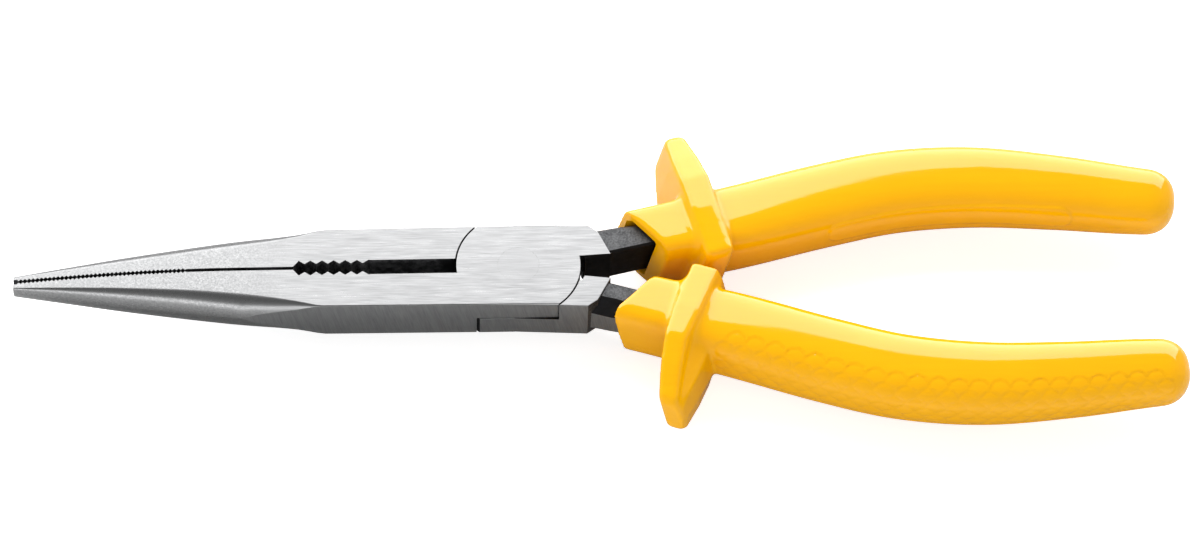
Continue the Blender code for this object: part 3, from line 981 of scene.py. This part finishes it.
def build_sleeve(name, node, body, turned, skew, material):
    """One insulating sleeve with its guard, hollow for the tang and open at the mouth."""
    sleeve = work_object(name, sleeve_body(), [material])
    combine(sleeve, work_object("guard", guard_body(), [material]), "UNION")
    combine(sleeve, work_object("fillet", guard_fillet(), [material]), "UNION")
    combine(sleeve, work_object("mouth", mouth_wedge(), [material]), "DIFFERENCE")
    mould_smooth(sleeve)
    add_relief(sleeve)
    combine(sleeve, work_object("cavity", tang_cavity(), [material]), "DIFFERENCE")
    turn = Matrix.Rotation(math.radians(skew), 4, "Z")
    sleeve.data.transform(turn)
    shade_by_angle(sleeve, SLEEVE_CREASE_DEG)
    place_in_frame(sleeve, turned)
    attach(sleeve, body)
    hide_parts(node)
    return sleeve


# ---- studio ---------------------------------------------------------------------------------------
CAMERA_TARGET = Vector((14.27, 0.60, 4.28)) * MM
CAMERA_AZIMUTH = -4.0
CAMERA_ELEVATION = 55.05
CAMERA_ROLL = 2.34
CAMERA_DISTANCE = 0.803
CAMERA_LENS = 138.3
CAMERA_SENSOR = 36.0
FLOOR_SIZE = 6.0
FLOOR_COLOUR = (0.82, 0.82, 0.82)
FLOOR_IN_GLOSS = (0.68, 0.68, 0.68)
FLOOR_GLOW = 0.75
FLOOR_DROP = 0.0002
WALL_RADIANCE = 0.5
CEILING_RADIANCE = 0.22
# Upward part of the direction at which the wall starts to dim and the ceiling is reached.
WALL_TOP = 0.2
CEILING_EDGE = 0.95

# Lights: name, azimuth, lowest and highest elevation, width, radiance, the things they light
# and whether reflections show them. All stand at the same distance, in metres.
LIGHT_DISTANCE = 1.1
LIGHTS = (
    ("steel_softbox", 90.0, 21.0, 62.0, 2.6, 2.9, ("steel",), True),
    ("front_card", -90.0, 0.0, 22.0, 2.6, 1.9, ("steel", "floor"), True),
    ("main_softbox", 90.0, 0.5, 62.0, 2.6, 4.2, ("sleeves", "floor"), True),
    ("front_fill", -90.0, 0.5, 50.0, 2.6, 1.7, ("sleeves",), False),
    ("left_fill", 180.0, 20.0, 60.0, 0.9, 1.6, ("sleeves",), False),
)


def add_camera():
    azimuth = math.radians(CAMERA_AZIMUTH)
    elevation = math.radians(CAMERA_ELEVATION)
    roll = math.radians(CAMERA_ROLL)
    back = Vector((
        math.sin(azimuth) * math.cos(elevation),
        -math.cos(azimuth) * math.cos(elevation),
        math.sin(elevation),
    ))
    right = Vector((math.cos(azimuth), math.sin(azimuth), 0.0))
    up = back.cross(right)
    level = Matrix((right, up, back)).transposed()
    data = bpy.data.cameras.new("studio_camera")
    data.lens = CAMERA_LENS
    data.sensor_width = CAMERA_SENSOR
    data.clip_start = 0.01
    data.clip_end = 50.0
    camera = bpy.data.objects.new("studio_camera", data)
    camera.matrix_world = Matrix.Translation(CAMERA_TARGET + back * CAMERA_DISTANCE) @ (
        (level @ Matrix.Rotation(roll, 3, "Z")).to_4x4()
    )
    bpy.context.scene.collection.objects.link(camera)
    bpy.context.scene.camera = camera


def add_softbox(name, azimuth, low, high, width, radiance, lit, glossy):
    """A soft light at an azimuth from +X, filling a band of elevation, all in degrees.

    It lights only the objects given, and may be left out of reflections."""
    middle = math.radians((low + high) / 2)
    height = 2 * LIGHT_DISTANCE * math.tan(math.radians((high - low) / 2))
    turn = math.radians(azimuth)
    toward = Vector((
        math.cos(turn) * math.cos(middle), math.sin(turn) * math.cos(middle), math.sin(middle)
    ))
    data = bpy.data.lights.new(name, "AREA")
    data.shape = "RECTANGLE"
    data.size = width
    data.size_y = height
    data.energy = radiance * math.pi * width * height
    lamp = bpy.data.objects.new(name, data)
    across = Vector((-math.sin(turn), math.cos(turn), 0.0))
    lamp.matrix_world = Matrix.Translation(toward * LIGHT_DISTANCE) @ (
        Matrix((across, toward.cross(across), toward)).transposed().to_4x4()
    )
    bpy.context.scene.collection.objects.link(lamp)
    receivers = bpy.data.collections.new(name + "_receivers")
    for item in lit:
        receivers.objects.link(item)
    lamp.light_linking.receiver_collection = receivers
    lamp.visible_glossy = glossy


def add_floor(height):
    """Pale table, lifted to white where the eye sees it directly, dimmer in reflections."""
    build = bmesh.new()
    bmesh.ops.create_grid(build, x_segments=1, y_segments=1, size=FLOOR_SIZE / 2)
    bmesh.ops.translate(build, vec=(0.0, 0.0, height), verts=build.verts[:])
    material = bpy.data.materials.new("pale_table")
    material.use_nodes = True
    tree = material.node_tree
    tree.nodes.clear()
    rays = add_node(tree, "ShaderNodeLightPath")
    matt = add_node(tree, "ShaderNodeBsdfDiffuse", {"Color": (*FLOOR_COLOUR, 1.0)})
    glow = add_node(
        tree, "ShaderNodeEmission", {"Color": (1, 1, 1, 1), "Strength": FLOOR_GLOW}
    )
    both = add_node(tree, "ShaderNodeAddShader")
    tree.links.new(matt.outputs[0], both.inputs[0])
    tree.links.new(glow.outputs[0], both.inputs[1])
    dimmed = add_node(tree, "ShaderNodeBsdfDiffuse", {"Color": (*FLOOR_IN_GLOSS, 1.0)})
    reflected = add_node(tree, "ShaderNodeMixShader")
    tree.links.new(rays.outputs["Is Glossy Ray"], reflected.inputs[0])
    tree.links.new(matt.outputs[0], reflected.inputs[1])
    tree.links.new(dimmed.outputs[0], reflected.inputs[2])
    final = add_node(tree, "ShaderNodeMixShader")
    tree.links.new(rays.outputs["Is Camera Ray"], final.inputs[0])
    tree.links.new(reflected.outputs[0], final.inputs[1])
    tree.links.new(both.outputs[0], final.inputs[2])
    output = add_node(tree, "ShaderNodeOutputMaterial")
    tree.links.new(final.outputs[0], output.inputs["Surface"])
    floor = work_object("studio_floor", build, [material])
    return floor


def add_world():
    """Dim studio walls with a darker ceiling."""
    world = bpy.data.worlds.new("studio")
    world.use_nodes = True
    tree = world.node_tree
    direction = add_node(tree, "ShaderNodeTexCoord").outputs["Generated"]
    axes = add_node(tree, "ShaderNodeSeparateXYZ", {"Vector": direction})
    level = remap(
        tree, axes.outputs["Z"], WALL_TOP, CEILING_EDGE, WALL_RADIANCE, CEILING_RADIANCE
    )
    background = tree.nodes["Background"]
    background.inputs["Color"].default_value = (1.0, 1.0, 1.0, 1.0)
    tree.links.new(level, background.inputs["Strength"])
    bpy.context.scene.world = world


def main():
    scene = bpy.context.scene
    scene.view_settings.view_transform = "Standard"
    scene.view_settings.look = "None"
    add_camera()
    add_world()
    floor = add_floor(CAD_BOX[0].z - FLOOR_DROP)

    steels = [
        ground_face_material(),
        ground_side_material(),
        inner_steel_material(),
        forged_steel_material(),
    ]
    yellow = sleeve_material()
    steel_items = [build_rivet(rivet_material())]
    sleeves = []
    for side, turned, skew in (
        ("lower", True, HANDLE_SKEW_DEG),
        ("upper", False, -HANDLE_SKEW_DEG),
    ):
        body = side + "_half"
        steel_items.append(
            build_half(side + "_steel_half", side + "_handle_half", body, turned, skew, steels)
        )
        sleeves.append(
            build_sleeve(side + "_sleeve", side + "_grip_sleeve", body, turned, skew, yellow)
        )
    groups = {"steel": steel_items, "sleeves": sleeves, "floor": [floor]}
    for name, azimuth, low, high, width, radiance, lit, glossy in LIGHTS:
        items = [item for group in lit for item in groups[group]]
        add_softbox(name, azimuth, low, high, width, radiance, items, glossy)


main()
